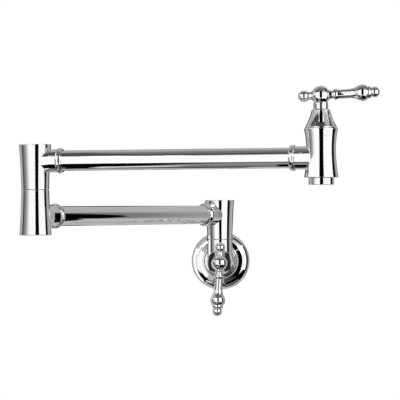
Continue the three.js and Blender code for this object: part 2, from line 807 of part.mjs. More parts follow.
// Upper arm: turns on the elbow's spindle. Its z = 0 is the elbow's seam.
const upperArm = groupAt(lowerArmLength, 0, postArmRise + elbowArmDrop, elbowAngle);
const upperFerrule = ferrule().translate(bossReach + gap, 0, elbowArmRise);
const spoutFerrule = ferrule().rotateZ(Math.PI);
spoutFerrule.translate(upperArmLength - spoutBossReach - gap, 0, elbowArmRise);
const upperTube = tube(bossReach + gap, upperArmLength - spoutBossReach - gap);
upperArm.add(
  named("elbow_upper_barrel", turningBarrel(elbowTopHeight, elbowArmRise), chrome),
  named("elbow_set_screw", setScrew(), steel),
  named("elbow_upper_ferrule", upperFerrule, chrome),
  named("upper_tube", upperTube.translate(0, 0, elbowArmRise), chrome),
  named("spout_ferrule", spoutFerrule, chrome),
  spoutHead,
);

// Lower arm: turns on the post's spindle. Its z = 0 is the post's seam.
const lowerArm = groupAt(0, -postOffset, postSeam, lowerArmAngle);
const postFerrule = ferrule().translate(bossReach + gap, 0, postArmRise);
const elbowFerrule = ferrule().rotateZ(Math.PI);
elbowFerrule.translate(lowerArmLength - elbowBossReach - gap, 0, postArmRise);
const lowerTube = tube(bossReach + gap, lowerArmLength - elbowBossReach - gap);
const elbowFloor = elbowFootHeight - barrelCap;
const elbowCup = barrel(elbowFootHeight, elbowArmDrop, elbowBossReach, tailHole, elbowFloor);
const elbowFoot = cut(elbowCup.rotateY(Math.PI), washerRecess());
const elbow = groupAt(lowerArmLength, 0, postArmRise + elbowArmDrop);
elbow.add(
  named("elbow_lower_barrel", elbowFoot, chrome),
  ...swivel("elbow", elbowTopHeight, elbowArmRise),
);
lowerArm.add(
  named("post_barrel", turningBarrel(postHeight, postArmRise), chrome),
  named("post_set_screw", setScrew(), steel),
  named("post_ferrule", postFerrule, chrome),
  named("lower_tube", lowerTube.translate(0, 0, postArmRise), chrome),
  named("elbow_lower_ferrule", elbowFerrule, chrome),
  elbow,
  upperArm,
);

const potFiller = new THREE.Group();
potFiller.add(
  named("inlet_nipple", inletNipple(), brass),
  named("wall_flange", wallFlange(), chrome),
  named("flange_gasket", outward(gasket), rubber),
  named("flange_oring", outward(flangeRing), rubber),
  named("wall_body", wallBody(), chrome),
  wallValve,
  post,
  lowerArm,
);

export default potFiller;
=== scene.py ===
# Wall mounted pot filler in polished chrome, on a white background.
# Shapes are written in millimetres in their own frames, then placed and scaled to metres.

import json
import math

import bpy
import numpy as np
from mathutils import Matrix, Vector


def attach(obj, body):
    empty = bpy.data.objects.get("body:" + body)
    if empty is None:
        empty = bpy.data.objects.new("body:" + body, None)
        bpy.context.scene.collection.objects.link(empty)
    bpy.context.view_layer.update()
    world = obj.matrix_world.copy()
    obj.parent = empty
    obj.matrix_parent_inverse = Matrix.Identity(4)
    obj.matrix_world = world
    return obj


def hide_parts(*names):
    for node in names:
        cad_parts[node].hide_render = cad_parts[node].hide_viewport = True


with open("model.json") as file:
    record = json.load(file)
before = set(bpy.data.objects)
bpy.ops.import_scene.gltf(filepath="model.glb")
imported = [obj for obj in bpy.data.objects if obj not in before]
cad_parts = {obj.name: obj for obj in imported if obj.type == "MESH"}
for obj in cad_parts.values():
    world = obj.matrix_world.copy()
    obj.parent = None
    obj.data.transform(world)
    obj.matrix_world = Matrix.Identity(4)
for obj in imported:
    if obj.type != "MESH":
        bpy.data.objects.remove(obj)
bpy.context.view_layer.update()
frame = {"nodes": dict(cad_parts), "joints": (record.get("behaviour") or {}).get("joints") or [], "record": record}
joints = {joint["name"]: joint for joint in frame["joints"]}
slots = {part["node"]: part["material_slot"] for part in frame["record"]["subparts"]}

# Sizes that several pieces share.
gap = 0.3  # between neighbours that don't touch
seamEdge = 0.15  # half of the seam between two barrels
tubeRadius = 9.75
tubeWall = 1.5
waterRadius = 6
waist = 13.4  # radius of a barrel's narrow end, at its seam
rim = 15.5  # radius of its wide end
bossRadius = 10.9
spigotRadius = 7.95  # plug of a side boss, inside the tube
spigotLength = 11
washerSeat = 12.1  # radius of a thrust washer's recess
washerSeatDepth = 1.45  # of that recess, from the seam
tailHole = 8.8  # bore that holds a swivel spindle's tail
spindleHole = 10
seatToRim = 37.3  # chamber of a valve, from its seat to its mouth
chamberRadius = 10.4
chamberDepth = 28
mouthRadius = 12.1
mouthLip = {"width": 0.6, "height": 0.22}  # closes the view through the seam under a bonnet

print("frame loaded")


# Shapes.

curvePoints = 17  # along a curve of a profile, with both its ends
cornerPoints = 7  # along a rounded corner


# Quadratic curve: (1 - t)^2 of its start, 2 t (1 - t) of its control point and t^2 of its end.
def bend(start, control, end, t):
    return (1 - t) ** 2 * start + 2 * t * (1 - t) * control + t**2 * end


# Profile of (radius, height) points. A step of four numbers is a curve, its control point first.
# One number more is how far from its end point the rounding of that corner begins.
def trace(start, *steps, rounding=0.25, closed=False):
    points = [np.array(start[:2], float)]
    corners = {0: start[2] if len(start) == 3 else rounding}
    for step in steps:
        curved = len(step) > 3
        end = np.array(step[2:4] if curved else step[:2], float)
        if curved:
            t = np.linspace(0, 1, curvePoints)[1:-1, None]
            points.extend(bend(points[-1], np.array(step[:2], float), end, t))
        points.append(end)
        corners[len(points) - 1] = step[-1] if len(step) in (3, 5) else rounding
    if closed:
        points.append(points[0])
    return softened(np.array(points), corners, closed)


# Replaces each sharp corner by a quadratic curve from just before it to just after it, the corner
# itself being the control point.
def softened(points, corners, closed):
    step = np.diff(points, axis=0)
    along = np.concatenate([[0], np.cumsum(np.linalg.norm(step, axis=1))])
    total = along[-1]
    heading = np.arctan2(step[:, 1], step[:, 0])
    count = len(points) - 1
    leastTurn = 0.2  # radians
    mostReach = 0.45  # share of the way to the next corner
    sharp = []
    for i in corners:
        if i == 0 and not closed or i == count:
            continue
        turn = heading[i % count] - heading[i - 1]
        if abs(math.remainder(turn, 2 * math.pi)) > leastTurn:
            sharp.append(i)
    spots = [along[i] for i in sharp]
    wrapped = closed and len(spots) > 1

    def at(s):
        s = s % total if closed else min(max(s, 0), total)
        return np.array([np.interp(s, along, points[:, 0]), np.interp(s, along, points[:, 1])])

    kept = np.ones(len(points), bool)
    pieces = []
    for k, i in enumerate(sharp):
        before = spots[k - 1] if k or closed else 0
        after = spots[(k + 1) % len(spots)] if k + 1 < len(spots) or closed else total
        roomBefore = (spots[k] - before) % total if wrapped else spots[k] - before
        roomAfter = (after - spots[k]) % total if wrapped else after - spots[k]
        reach = min(corners[i], mostReach * roomBefore, mostReach * roomAfter)
        t = np.linspace(0, 1, cornerPoints)[:, None]
        pieces.append((spots[k], bend(at(spots[k] - reach), points[i], at(spots[k] + reach), t)))
        distance = np.abs(along - spots[k])
        if closed:
            distance = np.minimum(distance, total - distance)
        kept &= distance > reach - 1e-9
    if closed:
        kept[-1] = False
    pieces.extend((along[j], points[j][None]) for j in np.flatnonzero(kept))
    ordered = np.concatenate([part for _, part in sorted(pieces, key=lambda piece: piece[0])])
    return supported(ordered, closed)


# Each long straight run from a to b gets two points more near its ends, a + (b - a) s and
# a + (b - a) (1 - s), which keep the shading of rounded corners off the run.
def supported(points, closed):
    longRun, inset = 0.8, 0.2
    start = points if closed else points[:-1]
    run = (np.roll(points, -1, axis=0) if closed else points[1:]) - start
    length = np.linalg.norm(run, axis=1)
    share = np.minimum(inset, length / 6) / np.maximum(length, 1e-12)
    shares = np.stack([np.zeros_like(share), share, 1 - share], 1)
    rows = start[:, None] + run[:, None] * shares[..., None]
    used = np.stack([np.ones(len(start), bool), length > longRun, length > longRun], 1)
    return rows[used] if closed else np.concatenate([rows[used], points[-1:]])


# Surface of the points (r cos a, r sin a, h), one row of angles a for each pair of r and h.
# Both may also differ along a row. A row on the axis becomes a single point.
def lathe(radii, heights, closed, sides):
    angle = np.linspace(0, 2 * math.pi, sides, endpoint=False)
    r = np.broadcast_to(np.reshape(radii, (len(radii), -1)), (len(radii), sides))
    h = np.broadcast_to(np.reshape(heights, (len(radii), -1)), (len(radii), sides))
    points = np.stack([r * np.cos(angle), r * np.sin(angle), h], -1).reshape(-1, 3)
    index = np.arange(len(points)).reshape(len(radii), sides)
    onAxis = r.max(axis=1) < 1e-9
    index[onAxis] = index[onAxis][:, :1]
    low = index if closed else index[:-1]
    high = np.roll(index, -1, axis=0) if closed else index[1:]
    quads = np.stack([low, np.roll(low, -1, axis=1), np.roll(high, -1, axis=1), high], -1)
    quads = quads.reshape(-1, 4)
    under = quads[:, 0] == quads[:, 1]
    over = quads[:, 2] == quads[:, 3]
    faces = [
        quads[~under & ~over],
        quads[under & ~over][:, [0, 2, 3]],
        quads[over & ~under][:, :3],
    ]
    used = np.unique(np.concatenate([part.ravel() for part in faces]))
    renumber = np.zeros(len(points), int)
    renumber[used] = np.arange(len(used))
    return points[used], [renumber[part] for part in faces]


def revolve(profile, closed=False, sides=96):
    return lathe(profile[:, 0], profile[:, 1], closed, sides)


# A side boss about +Z that grows out of a round barrel about X, whose radius R at x is outer(x).
# Its foot lies just under the barrel's surface, at the height sqrt(R^2 - (r sin a)^2). From there
# the radius follows flare(height) up to the profile.
def boss(outer, profile, flare, bore, sides=96):
    angle = np.linspace(0, 2 * math.pi, sides, endpoint=False)
    across, upward = np.sin(angle), np.cos(angle)
    sunk = 0.4  # of the foot below the surface
    footRows, flareRows = 4, 14

    def foot(radius):
        size = outer(radius * upward) - sunk
        return np.sqrt(np.maximum(size**2 - (radius * across) ** 2, 0.01))

    # The foot's edge is where it meets the flare. Twelve half steps towards it are enough.
    edge = np.full(sides, float(profile[0, 0]))
    for _ in range(12):
        edge = 0.5 * edge + 0.5 * flare(foot(edge))
    start = foot(edge)
    under = bore + (edge - bore) * np.linspace(0, 1, footRows, endpoint=False)[:, None]
    grown = start + (profile[0, 1] - start) * np.linspace(0, 1, flareRows, endpoint=False)[:, None]
    around = np.ones(sides)
    radii = np.concatenate([under, flare(grown), profile[:, :1] * around])
    heights = np.concatenate([foot(under), grown, profile[:, 1:] * around])
    return lathe(radii, heights, True, sides)


def placed(solid, matrix):
    points, faces = solid
    m = np.array(matrix)
    return points @ m[:3, :3].T + m[:3, 3], faces


def together(*solids):
    points, faces, offset = [], [], 0
    for own, parts in solids:
        points.append(own)
        faces.extend(part + offset for part in parts)
        offset += len(own)
    return np.concatenate(points), faces


def turned(degrees, axis):
    return Matrix.Rotation(math.radians(degrees), 4, axis)


def moved(x, y, z):
    return Matrix.Translation((x, y, z))


def inMillimetres(joint):
    return Vector(joints[joint]["pos_m"]) * 1000


def addMesh(name, points, faces, material):
    mesh = bpy.data.meshes.new(name)
    mesh.from_pydata(points.tolist(), [], [face for part in faces for face in part.tolist()])
    mesh.polygons.foreach_set("use_smooth", [True] * len(mesh.polygons))
    mesh.materials.append(material)
    mesh.update()
    piece = bpy.data.objects.new(name, mesh)
    bpy.context.scene.collection.objects.link(piece)
    return piece


# A finished piece that stands for the CAD node of the same name.
def addPiece(node, body, matrix, *solids):
    points, faces = placed(together(*solids), matrix)
    piece = addMesh(node + "_shown", points / 1000, faces, materials[slots[node]])
    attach(piece, body)
    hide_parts(node)


# Materials.

# An sRGB hex colour in linear light.
def linear(colour):
    parts = [(colour >> shift & 255) / 255 for shift in (16, 8, 0)]
    return [c / 12.92 if c <= 0.04045 else ((c + 0.055) / 1.055) ** 2.4 for c in parts] + [1]


# Adds a shader node. A value that is a socket becomes a link, any other is set on the socket.
def add(tree, kind, sockets=None, **settings):
    node = tree.nodes.new(kind)
    for name, value in settings.items():
        setattr(node, name, value)
    for socket, value in (sockets or {}).items():
        if isinstance(value, bpy.types.NodeSocket):
            tree.links.new(value, node.inputs[socket])
        else:
            node.inputs[socket].default_value = value
    return node


def blank(name):
    material = bpy.data.materials.new(name)
    material.use_nodes = True
    tree = material.node_tree
    tree.nodes.clear()
    return material, tree


# A surface whose colour drifts slowly between two values, and whose roughness and relief follow a
# fine grain. Drift, grain and relief are sizes in millimetres. Stretch above 1 shortens the
# pattern along that axis.
def surface(name, colours, metallic, roughness, drift, grain, relief, stretch=(1, 1, 1)):
    material, tree = blank(name)
    place = add(tree, "ShaderNodeTexCoord").outputs["Object"]
    place = add(tree, "ShaderNodeMapping", {"Vector": place, "Scale": stretch}).outputs["Vector"]
    slow = add(tree, "ShaderNodeTexNoise", {
        "Vector": place, "Scale": 1000 / drift, "Detail": 2.0,
    }).outputs["Fac"]
    fine = add(tree, "ShaderNodeTexNoise", {
        "Vector": place, "Scale": 1000 / grain, "Detail": 3.0,
    }).outputs["Fac"]
    low, high = 0.3, 0.7  # where most of a noise's values lie
    colour = add(tree, "ShaderNodeValToRGB", {"Fac": slow})
    for stop, position, value in zip(colour.color_ramp.elements, (low, high), colours):
        stop.position = position
        stop.color = linear(value)
    rough = add(tree, "ShaderNodeMapRange", {
        "Value": fine, "From Min": low, "From Max": high,
        "To Min": roughness[0], "To Max": roughness[1],
    })
    bump = add(tree, "ShaderNodeBump", {
        "Height": fine, "Strength": 1.0, "Distance": relief / 1000,
    })
    shader = add(tree, "ShaderNodeBsdfPrincipled", {
        "Base Color": colour.outputs["Color"], "Metallic": metallic,
        "Roughness": rough.outputs["Result"], "Normal": bump.outputs["Normal"],
    })
    add(tree, "ShaderNodeOutputMaterial", {"Surface": shader.outputs["BSDF"]})
    return material


# Tool marks and moulding grain are drawn coarser than the real ones, so that they show.
materials = {
    # Mirror-bright plating: sharp reflections with the faintest waviness of a polished casting.
    "chrome": surface(
        "polished_chrome_plate", (0xF8F9FA, 0xFCFDFD), 1, (0.03, 0.05), 60, 14, 0.004,
    ),
    # Turned brass, warm and softly glossy.
    "brass": surface(
        "machined_brass", (0xB9974F, 0xCBAA62), 1, (0.22, 0.36), 9, 0.9, 0.01, (1, 1, 6),
    ),
    # Stainless steel with a fine turned grain.
    "steel": surface(
        "turned_stainless_steel", (0x8D9194, 0xA3A7A9), 1, (0.25, 0.4), 5, 0.6, 0.008, (1, 1, 8),
    ),
    # Moulded black rubber, dull with a slight bloom.
    "black_rubber": surface(
        "moulded_black_rubber", (0x151618, 0x212224), 0, (0.62, 0.8), 7, 0.8, 0.02,
    ),
    # Lapped alumina, off-white and smooth.
    "ceramic": surface(
        "lapped_alumina", (0xE6E2D9, 0xEEEBE3), 0, (0.2, 0.3), 6, 0.7, 0.003,
    ),
    # Moulded white plastic with a fine matt skin.
    "white_plastic": surface(
        "moulded_white_plastic", (0xDFE0DD, 0xE9EAE7), 0, (0.42, 0.55), 8, 0.8, 0.008,
    ),
}

for name, node in frame["nodes"].items():
    node.data.materials.clear()
    node.data.materials.append(materials[slots[name]])

print("materials done")


# Barrels and tubes of the arms. Heights are measured from the seam: "arm" is the tube's axis and
# "floor" the end of the bore. "reach" goes from the barrel's axis to the side boss's face, and
# "flare" is what the boss gains in radius at its foot.
post = {
    "height": 41.9, "floor": 37.9, "bore": spindleHole,
    "arm": 26.4, "reach": 22.4, "flare": 1.0,
}
elbowFoot = {
    "height": 43.6, "floor": 39.6, "bore": tailHole,
    "arm": 25.3, "reach": 24.4, "flare": 2.7,
}
elbowTop = {
    "height": 43.7, "floor": 39.7, "bore": spindleHole,
    "arm": 27.8, "reach": 22.4, "flare": 2.7,
}


# Side of a barrel from its waist to its wide end: one quadratic curve that leaves the waist slowly.
def flank(height):
    return (waist + 0.4, height / 2, rim, height, 0.8)


def barrelSide(size):
    height = size["height"]
    return trace((waist, seamEdge), flank(height), (rim - 3, height), rounding=0.35)


# Cup with its open end on the seam at z = 0, and a recess for the thrust washer if it holds one.
def barrel(size, recess=False):
    bore, floor, height = size["bore"], size["floor"], size["height"]
    mouth = [(bore, seamEdge)]
    if recess:
        mouth = [(bore, washerSeatDepth), (washerSeat, washerSeatDepth), (washerSeat, seamEdge)]
    return trace(
        (0, floor), (bore, floor), *mouth, (waist, seamEdge, 0.35), flank(height), (0, height),
    )


# The barrel's outer radius at a distance from the boss's axis, read off its side.
def sideRadius(side, centre):
    order = np.argsort(side[:, 1])
    return lambda offset: np.interp(centre + offset, side[order, 1], side[order, 0])


# Radius of a side boss by its height above the barrel's axis: a quadratic curve that ends at the
# barrel's radius, where the boss is straight.
def flareOf(extra, radius):
    t = np.linspace(0, 1, 60)
    widths = bend(bossRadius + extra, bossRadius + extra / 3, bossRadius, t)
    heights = bend(0.1 * radius, 0.55 * radius, radius, t)
    return lambda height: np.interp(height, heights, widths)


# Boss about +Z from the flare's end to its face, with the plug that enters the tube.
def bossProfile(start, reach):
    return trace(
        (bossRadius, start),
        (bossRadius, reach, 0.3),
        (spigotRadius, reach),
        (spigotRadius, reach + spigotLength, 0.6),
        (waterRadius, reach + spigotLength),
        (waterRadius, start),
    )


# Turns a form about +Z, seen with X up, into one that points along +X with Z up.
sideways = turned(90, "Y") @ turned(180, "Z")


def armBoss(side, centre, size, radius=rim):
    profile = bossProfile(radius, size["reach"])
    flare = flareOf(size["flare"], radius)
    solid = boss(sideRadius(side, centre), profile, flare, waterRadius)
    return placed(solid, moved(0, 0, centre) @ sideways)


def tube(length):
    bore = tubeRadius - tubeWall
    profile = trace((bore, 0), (tubeRadius, 0), (tubeRadius, length), (bore, length), closed=True)
    return revolve(profile, closed=True)


# Ring about +Z that covers the joint of a tube and its boss. Here and below, a bend is the control
# point of a curve.
ferruleSize = {
    "bore": 10.05, "back": 11.45, "crown": 12.25, "front": 10.9, "crownHeight": 1.8, "length": 5.1,
    "backBend": (12.25, 0.75), "frontBend": (12.05, 3.6),
}
ferrule = revolve(trace(
    (ferruleSize["bore"], 0),
    (ferruleSize["back"], 0, 0.3),
    (*ferruleSize["backBend"], ferruleSize["crown"], ferruleSize["crownHeight"]),
    (*ferruleSize["frontBend"], ferruleSize["front"], ferruleSize["length"], 0.3),
    (ferruleSize["bore"], ferruleSize["length"]),
    closed=True,
), closed=True)

postAxis = inMillimetres("lower_arm_swivel")
elbowAxis = inMillimetres("elbow_swivel")
spoutAxis = inMillimetres("spout_valve_turn")
lowerArm = elbowAxis - postAxis
upperArm = spoutAxis - elbowAxis
lowerAngle = math.degrees(math.atan2(lowerArm.y, lowerArm.x))
upperAngle = math.degrees(math.atan2(upperArm.y, upperArm.x))
lowerLength = math.hypot(lowerArm.x, lowerArm.y)
upperLength = math.hypot(upperArm.x, upperArm.y)

postFrame = moved(*postAxis) @ turned(lowerAngle, "Z")
elbowFrame = moved(*elbowAxis) @ turned(upperAngle, "Z")
footFrame = moved(*elbowAxis) @ turned(lowerAngle, "Z") @ turned(180, "Y")
lowerLine = postFrame @ moved(0, 0, post["arm"])
upperLine = elbowFrame @ moved(0, 0, elbowTop["arm"])

for name, body, matrix, size, recess in (
    ("post_barrel", "lower_arm", postFrame, post, False),
    ("elbow_upper_barrel", "upper_arm", elbowFrame, elbowTop, False),
    ("elbow_lower_barrel", "lower_arm", footFrame, elbowFoot, True),
):
    cup = revolve(barrel(size, recess))
    addPiece(name, body, matrix, cup, armBoss(barrelSide(size), size["arm"], size))

# Spout: its frame's z = 0 is the upper arm's axis, and its +X points away from the arm.
spout = {
    "rim": 27.4, "rimRadius": 15.8, "collar": 25.9, "waistHeight": 5.7, "waistRadius": 13.8,
    "foot": -18.6, "footRadius": 16.1, "socketRadius": 10.6, "socketDepth": 7,
    "lowBend": (14.1, -7.1), "highBend": (13.8, 18), "bonnetInset": 0.9,
    "reach": 24.4, "flare": 0.7,
}

# Faces of the two bosses that each tube runs between, as distances along its arm.
lowerEnds = (post["reach"], lowerLength - elbowFoot["reach"])
upperEnds = (elbowTop["reach"], upperLength - spout["reach"])

for name, body, line, distance, sense in (
    ("post_ferrule", "lower_arm", lowerLine, lowerEnds[0], 1),
    ("elbow_lower_ferrule", "lower_arm", lowerLine, lowerEnds[1], -1),
    ("elbow_upper_ferrule", "upper_arm", upperLine, upperEnds[0], 1),
    ("spout_ferrule", "upper_arm", upperLine, upperEnds[1], -1),
):
    place = line @ moved(distance + sense * gap, 0, 0) @ turned(sense * 90, "Y")
    addPiece(name, body, place, ferrule)

for name, body, line, (first, last) in (
    ("lower_tube", "lower_arm", lowerLine, lowerEnds),
    ("upper_tube", "upper_arm", upperLine, upperEnds),
):
    place = line @ moved(first + gap, 0, 0) @ turned(90, "Y")
    addPiece(name, body, place, tube(last - first - 2 * gap))

# Thrust washer, with a fine raised bead that closes the view through the seam.
washerSize = {
    "bore": 10.05, "radius": 11.8, "bottom": -1.15, "top": -0.15,
    "beadFoot": (10.6, 11.4), "beadCrown": (10.8, 11.2), "beadTop": 0.08,
}
washer = revolve(trace(
    (washerSize["bore"], washerSize["bottom"]),
    (washerSize["radius"], washerSize["bottom"]),
    (washerSize["radius"], washerSize["top"], 0.1),
    (washerSize["beadFoot"][1], washerSize["top"], 0.1),
    (washerSize["beadCrown"][1], washerSize["beadTop"], 0.1),
    (washerSize["beadCrown"][0], washerSize["beadTop"], 0.1),
    (washerSize["beadFoot"][0], washerSize["top"], 0.1),
    (washerSize["bore"], washerSize["top"]),
    closed=True,
), closed=True)
addPiece("post_thrust_washer", "wall_unit", moved(*postAxis), washer)
addPiece("elbow_thrust_washer", "lower_arm", moved(*elbowAxis), washer)

print("arms done")


# Inside of a valve's chamber from its mouth down to the water hole in its seat.
def chamber(mouth, seat):
    outside = mouthRadius + mouthLip["width"]
    return [
        (outside, mouth),
        (outside, mouth + mouthLip["height"]),
        (mouthRadius, mouth + mouthLip["height"]),
        (mouthRadius, seat + chamberDepth),
        (chamberRadius, seat + chamberDepth),
        (chamberRadius, seat),
        (waterRadius, seat),
    ]


# The spout's flank: two quadratic curves that meet at its waist.
spoutFrame = upperLine @ moved(upperLength, 0, 0)
spoutSeat = spout["rim"] - seatToRim
spoutFlank = [
    (*spout["lowBend"], spout["waistRadius"], spout["waistHeight"]),
    (*spout["highBend"], spout["rimRadius"], spout["collar"]),
]
spoutSide = trace(
    (spout["footRadius"], spout["foot"]), *spoutFlank, (spout["rimRadius"], spout["rim"]),
)
spoutCup = revolve(trace(
    (waterRadius, spout["foot"] + spout["socketDepth"]),
    (spout["socketRadius"], spout["foot"] + spout["socketDepth"]),
    (spout["socketRadius"], spout["foot"]),
    (spout["footRadius"], spout["foot"], 0.6),
    *spoutFlank,
    (spout["rimRadius"], spout["rim"], 0.7),
    *chamber(spout["rim"], spoutSeat),
    closed=True,
), closed=True)
spoutBoss = armBoss(spoutSide, 0, spout, spout["footRadius"])
addPiece("spout_body", "upper_arm", spoutFrame, spoutCup, placed(spoutBoss, turned(180, "Z")))

# Aerator: its neck goes up into the spout's socket, and a lip inside carries the insert.
aerator = {
    "drop": 6.7, "radius": 11.95, "bore": 8.6, "lip": 1.7,
    "neckRadius": 10.3, "neckBore": 9.2, "neck": 4.6,
}
aeratorFoot = spout["foot"] - aerator["drop"]
addPiece("aerator_housing", "upper_arm", spoutFrame, revolve(trace(
    (aerator["bore"], aeratorFoot),
    (aerator["radius"], aeratorFoot, 0.45),
    (aerator["radius"], spout["foot"] - gap),
    (aerator["neckRadius"], spout["foot"] - gap),
    (aerator["neckRadius"], spout["foot"] + aerator["neck"]),
    (aerator["neckBore"], spout["foot"] + aerator["neck"]),
    (aerator["neckBore"], aeratorFoot + aerator["lip"]),
    (aerator["bore"], aeratorFoot + aerator["lip"]),
    closed=True,
), closed=True))

print("spout done")

# Wall body: a horizontal barrel about the wall's outward direction, with a riser on top.
wallBody = {
    "radius": 13.5, "back": 4, "rim": 71.5, "inletRadius": 10.8, "inletEnd": 24,
    "riserFoot": 14, "riserFloor": 13.4,
}
outward = turned(90, "X")
wallSeat = wallBody["rim"] - seatToRim
bodyTube = revolve(trace(
    (wallBody["inletRadius"], wallBody["back"]),
    (wallBody["radius"], wallBody["back"], 0.7),
    (wallBody["radius"], wallBody["rim"], 0.7),
    *chamber(wallBody["rim"], wallSeat),
    (waterRadius, wallBody["inletEnd"]),
    (wallBody["inletRadius"], wallBody["inletEnd"]),
    closed=True,
), closed=True)
riserProfile = trace(
    (waist, wallBody["riserFoot"]),
    (waist, postAxis.z - seamEdge, 0.35),
    (washerSeat, postAxis.z - seamEdge),
    (washerSeat, postAxis.z - washerSeatDepth),
    (tailHole, postAxis.z - washerSeatDepth),
    (tailHole, wallBody["riserFloor"]),
)


# The body's radius, the same all along it, and the riser's, which doesn't flare.
def bodyRadiusAt(offset):
    return np.full_like(offset, wallBody["radius"])


def riserRadiusAt(height):
    return np.full_like(height, waist)


riser = boss(bodyRadiusAt, riserProfile, riserRadiusAt, tailHole)
riser = placed(riser, moved(0, postAxis.y, 0) @ turned(90, "Z"))
addPiece("wall_body", "wall_unit", Matrix(), placed(bodyTube, outward), riser)

# Wall flange: a domed cover with a cone and three rings, hollow behind, and a groove in its bore
# for the seal ring. Pairs are (radius, distance from the wall), but the groove's are its two ends.
flange = {
    "radius": 31.5, "edge": 0.6, "domeBend": (31.5, 3.03), "dome": (28.4, 5.1),
    "shoulderBend": (26.6, 6.3), "shoulder": (24, 6.9), "cone": (19.2, 10.5),
    "neck": (18.9, 12.2), "rings": ((18.4, 12.2), (16.6, 13.6), (14.9, 15)), "ringHeight": 1.4,
    "bore": 13.8, "grooveRadius": 15.4, "groove": (11.2, 13.4),
    "hollow": ((13.8, 9.5), (17.5, 8), (23, 4.9), (29, 2)), "hollowRadius": 29, "sides": 144,
}
ringSteps = []
for radius, height in flange["rings"]:
    ringSteps += [(radius, height, 0.3), (radius, height + flange["ringHeight"], 0.6)]
flangeTop = ringSteps[-1][1]
addPiece("wall_flange", "wall_unit", outward, revolve(trace(
    (flange["hollowRadius"], 0),
    (flange["radius"], 0, 0.3),
    (flange["radius"], flange["edge"]),
    (*flange["domeBend"], *flange["dome"]),
    (*flange["shoulderBend"], *flange["shoulder"], 0.5),
    (*flange["cone"], 0.6),
    (*flange["neck"], 0.3),
    *ringSteps,
    (flange["bore"], flangeTop),
    (flange["bore"], flange["groove"][1]),
    (flange["grooveRadius"], flange["groove"][1]),
    (flange["grooveRadius"], flange["groove"][0]),
    (flange["bore"], flange["groove"][0]),
    *flange["hollow"],
    closed=True,
), closed=True, sides=flange["sides"]))

# Inlet nipple with a half-inch pipe thread: its radius is less by depth (0.5 - 0.5 cos phase),
# where phase grows along the axis and round it, so that the wave's crest is a helix. The thread
# runs out at both ends.
nipple = {
    "start": -20, "end": 23.7, "radius": 10.5, "bore": 6.5, "pitch": 1.814, "depth": 1.16,
    "runOut": 1.2, "rows": 360, "sides": 72,
}
nippleRows = np.linspace(nipple["start"], nipple["end"], nipple["rows"])[:, None]
nippleAngle = np.linspace(0, 2 * math.pi, nipple["sides"], endpoint=False)
phase = nippleRows / nipple["pitch"] - nippleAngle / (2 * math.pi)
wave = 0.5 + 0.5 * np.cos(2 * math.pi * phase)
toEnd = np.minimum(nippleRows - nipple["start"], nipple["end"] - nippleRows)
ease = np.clip(toEnd / nipple["runOut"], 0, 1)
thread = nipple["radius"] - nipple["depth"] + nipple["depth"] * wave * ease
around = np.ones(nipple["sides"])
addPiece("inlet_nipple", "wall_unit", outward, lathe(
    np.concatenate([thread, np.full((2, 1), nipple["bore"]) * around]),
    np.concatenate([nippleRows, [[nipple["end"]], [nipple["start"]]]]) * around,
    True, nipple["sides"],
))

print("wall unit done")


# Valves. A valve's frame has z = 0 at its seat and +Z outward. Heights in these dictionaries are
# measured from the bonnet's foot, the hub's foot and the ball's centre.
bonnetSize = {
    "height": 17.3, "edge": 0.8, "topRadius": 8.5, "hollow": 1.2, "footBore": 10,
    "inside": ((4.4, 12.4), (6, 9.4), (10, 4.9)),
}
hubSize = {
    "skirtRadius": 7, "skirt": 5.7, "neckRadius": 6.3, "neck": 6.5,
    "ballRadius": 8.8, "ballCentre": 13, "ballStart": -38,
}
leverSize = {
    "outline": (
        (4.2, 7), (4.2, 8.4),  # foot inside the hub
        (3.6, 10.3, 3.9, 12.2, 0.3), (4.9, 12.8, 0.3),  # neck
        (5.35, 14.2, 4.7, 15.6, 0.3), (4.3, 16.4, 0.4),  # collar
        (4.1, 22, 4.4, 28), (4.8, 31.5, 6.2, 34.2),  # grip
        (8.7, 38.6, 7, 42.4), (6.2, 43.5, 5.4, 43.8, 0.3),  # bulb
        (6.1, 45.2, 5.2, 46.7, 0.3), (4, 47.6, 0.3),  # bead and groove
    ),
    "ball": {"radius": 4.9, "centre": 50.4, "groove": 4},
}
finialSize = {
    "outline": ((4.1, 7), (4.1, 8.4), (3.4, 10, 3.8, 12.3)),
    "ball": {"radius": 5.3, "centre": 16, "groove": 3.8},
}
lift = 2.5  # of a lever's tip away from the valve, in degrees


# Cone with a slightly hollow side, from its foot on the body's rim to the hub.
def bonnet(foot):
    base = seatToRim + gap
    top = base + bonnetSize["height"]
    middle = (foot + bonnetSize["topRadius"]) / 2 - bonnetSize["hollow"]
    inside = [(radius, base + height) for radius, height in bonnetSize["inside"]]
    return revolve(trace(
        (bonnetSize["footBore"], base),
        (foot, base, 0.3),
        (foot, base + bonnetSize["edge"], 0.3),
        (middle, (base + top) / 2, bonnetSize["topRadius"], top, 0.6),
        (inside[0][0], top),
        *inside,
        closed=True,
    ), closed=True)


# Part of a ball's outline up to its top: (r cos a, centre + r sin a) from a given angle a.
def ballOutline(radius, centre, start, count):
    angles = np.linspace(start, math.pi / 2, count)
    points = np.stack([radius * np.cos(angles), centre + radius * np.sin(angles)], 1)
    points[-1, 0] = 0
    return points


hubBase = seatToRim + bonnetSize["height"] + 2 * gap
ballHeight = hubBase + hubSize["ballCentre"]


# Ball on a short skirt.
def hub():
    ball = ballOutline(
        hubSize["ballRadius"], ballHeight, math.radians(hubSize["ballStart"]), 40,
    )
    skirt = trace(
        (0, hubBase),
        (hubSize["skirtRadius"], hubBase, 0.5),
        (hubSize["skirtRadius"], hubBase + hubSize["skirt"], 0.6),
        (hubSize["neckRadius"], hubBase + hubSize["neck"]),
        (ball[0, 0], ball[0, 1]),
    )
    return revolve(np.concatenate([skirt[:-1], ball]))


